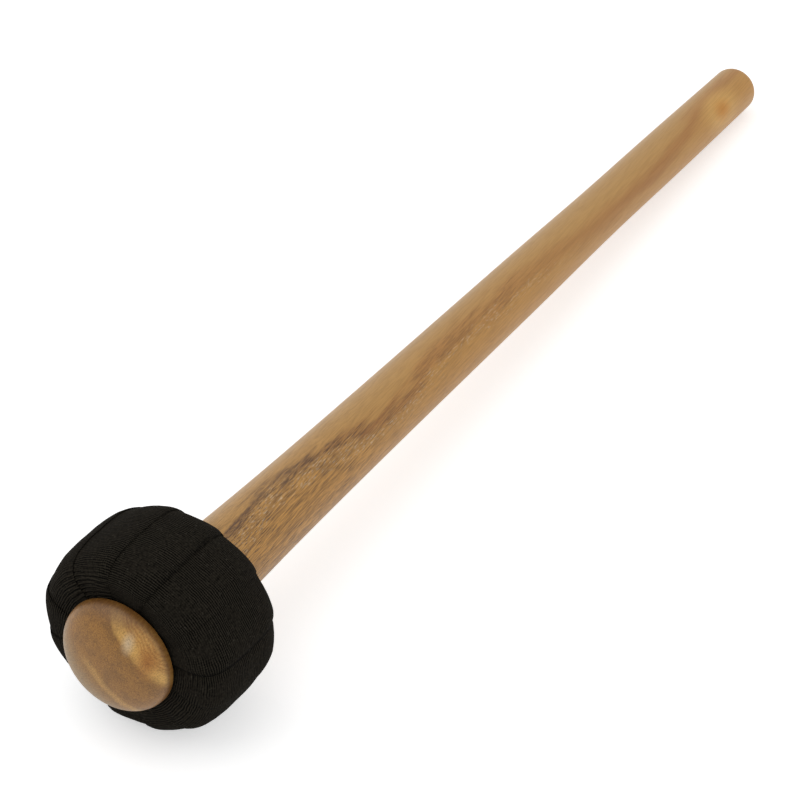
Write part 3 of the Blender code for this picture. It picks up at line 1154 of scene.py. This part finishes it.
@dataclass
class FeltRing:
    """The felt rolled round the rubber core, open inside the hole."""

    form: HeadForm
    inset: float = 2.6
    opens: float = 0.67
    closes: float = 0.82
    core_radius: float = 20.5
    core_width: float = 4.8
    core_centre: float = 18.8
    core_depth: float = 11.8
    core_fullness: float = 2.5
    half_opening: float = 40.0
    table_gap: float = 1.4
    table_blend: float = 0.4
    lumps: float = 0.004
    sides: int = 96
    outer_rings: int = 40
    inner_rings: int = 24

    def outline(self) -> Outline:
        """The rings of the channel, round its outside and back along the core.

        Returns:
            The outline for the lathe, whose last ring joins its first.
        """
        rings = []
        span = self.opens + 1 - self.closes
        for i in range(self.outer_rings + 1):
            place, normal = self.form.at(self.closes + span * i / self.outer_rings)
            rings.append(tuple(place - self.inset * normal))
        start, end = 180 + self.half_opening, 540 - self.half_opening
        for i in range(self.inner_rings + 1):
            angle = math.radians(start + (end - start) * i / self.inner_rings)
            across, along = squarish(angle, self.core_fullness)
            radius = self.core_radius + self.core_width * across
            rings.append((radius, self.core_centre + self.core_depth * along))
        return rings

    def build(self, axis: MalletAxis, felt: Material) -> Object:
        """Form the felt ring, press it flat where the mallet rests, and dress it.

        Args:
            axis: The mallet's axis.
            felt: The felt.

        Returns:
            The padding under the cloth.
        """
        piece = turn_piece("felt_ring", self.outline(), self.sides, hollow=True)
        for point in piece.data.vertices:
            point.co = self.form.warped(point.co / MM) * MM
        lay_down(piece, axis, 60.0)
        for point in piece.data.vertices:
            lump = noise.noise(point.co / MM * 0.3)
            point.co.z = smooth_max(point.co.z / MM, self.table_gap, self.table_blend) * MM
            point.co.y *= 1 - self.lumps * (lump + 1)
        dress(piece, felt, "felt", "padding")
        return piece


@dataclass
class CoreRing:
    """The rubber ring that gives the head its weight, carried over from the frame."""

    node: str = "core_ring"

    def build(self, rubber: Material) -> Object:
        """Dress the node.

        Args:
            rubber: The ring's rubber.

        Returns:
            The node.
        """
        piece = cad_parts[self.node]
        piece.data.materials.clear()
        piece.data.materials.append(rubber)
        return piece


@dataclass
class Studio:
    """A pale floor, soft white light from all round, and the camera. Sizes and places are in metres."""

    camera_place: tuple[float, float, float] = (-0.690984, -0.388976, 0.605555)
    camera_turn: tuple[float, float, float] = (52.3557, 0.0026, -59.08)
    lens: float = 135.0
    sensor: float = 36.0
    near_end: float = 0.01
    sky: float = 0.62
    floor_size: float = 8.0
    floor_colour: str = "#f4f4f4"
    floor_lift: float = 0.50
    # Each lamp's name, power in watts, size and place
    lamps: tuple[tuple[str, float, float, tuple[float, float, float]], ...] = (
        ("key", 4.6, 1.4, (-0.5, 0.5, 1.3)),
        ("fill", 1.9, 1.2, (0.2, -1.2, 0.9)),
    )

    def build(self) -> None:
        """Set up the floor, the lamps, the world and the camera."""
        bpy.context.scene.view_settings.view_transform = "Standard"
        self.build_floor()
        self.build_light()
        camera = bpy.data.cameras.new("camera")
        camera.lens = self.lens
        camera.sensor_width = self.sensor
        camera.clip_start = self.near_end
        turn = Euler([math.radians(a) for a in self.camera_turn])
        bpy.context.scene.camera = self.hang("camera", camera, self.camera_place, turn)

    def hang(self, name: str, data: ID, place: tuple, turn: Euler) -> Object:
        """Put a camera or a lamp in the scene.

        Args:
            name: Its name.
            data: The camera or the lamp.
            place: Where it hangs, in metres.
            turn: How it is turned.

        Returns:
            Its object.
        """
        holder = bpy.data.objects.new(name, data)
        holder.location, holder.rotation_euler = place, turn
        bpy.context.scene.collection.objects.link(holder)
        return holder

    def seen(self, tree: NodeTree) -> NodeSocket:
        """1 for what the camera sees, also in a reflection, and 0 for the light that falls on the object."""
        rays = add_node(tree, "LightPath").node.outputs
        return add_node(tree, "Math", (rays["Is Camera Ray"], rays["Is Glossy Ray"]), operation="MAXIMUM")

    def build_floor(self) -> None:
        """Lay the floor, which keeps the mallet's shadow and shows white round it."""
        bpy.ops.object.select_all(action="DESELECT")
        bpy.ops.mesh.primitive_plane_add(size=self.floor_size, location=(0.0, 0.0, 0.0))
        floor = bpy.context.active_object
        floor.name = "floor"
        material, tree, shader = new_material("white_paper_floor")
        tree.nodes.remove(shader)
        paper = add_node(tree, "BsdfDiffuse", {"Color": self.floor_colour})
        strength = add_node(tree, "Math", (self.seen(tree), self.floor_lift), operation="MULTIPLY")
        glow = add_node(tree, "Emission", {"Strength": strength})
        set_inputs(tree.nodes["Material Output"], {"Surface": add_node(tree, "AddShader", (paper, glow))})
        floor.data.materials.append(material)

    def build_light(self) -> None:
        """Hang two soft lamps, and light the rest from the world."""
        for name, power, size, place in self.lamps:
            lamp = bpy.data.lights.new(name, "AREA")
            lamp.energy = power
            lamp.size = size
            self.hang(name, lamp, place, (-Vector(place)).to_track_quat("-Z", "Y").to_euler())
        world = bpy.data.worlds.new("studio")
        bpy.context.scene.world = world
        world.use_nodes = True
        tree = world.node_tree
        strength = add_node(tree, "MapRange", (self.seen(tree), 0.0, 1.0, self.sky, 1.0))
        set_inputs(tree.nodes["Background"], {"Color": "#ffffff", "Strength": strength})


def main() -> None:
    """Build the mallet piece by piece, report each piece, and set up the studio round it."""
    axis = MalletAxis()
    handle, knob = Handle(), Knob()
    form = HeadForm(handle, knob)
    pieces = (
        handle.build(axis, OiledHardwood(Figure.LONG_GRAIN).make(axis)),
        knob.build(axis, OiledHardwood(Figure.END_GRAIN, fleck_width=0.17, fleck_length=0.5).make(axis)),
        FeltRing(form).build(axis, GREY_FELT.make()),
        WoundCloth(form).build(axis, RibbedKnit().make()),
        CoreRing().build(BLACK_RUBBER.make()),
    )
    for piece in pieces:
        log.info("%s: %d faces of %s", piece.name, len(piece.data.polygons), piece.active_material.name)
    Studio().build()


if __name__ == "__main__":
    logging.basicConfig(level=logging.INFO, format="%(name)s: %(message)s")
    main()
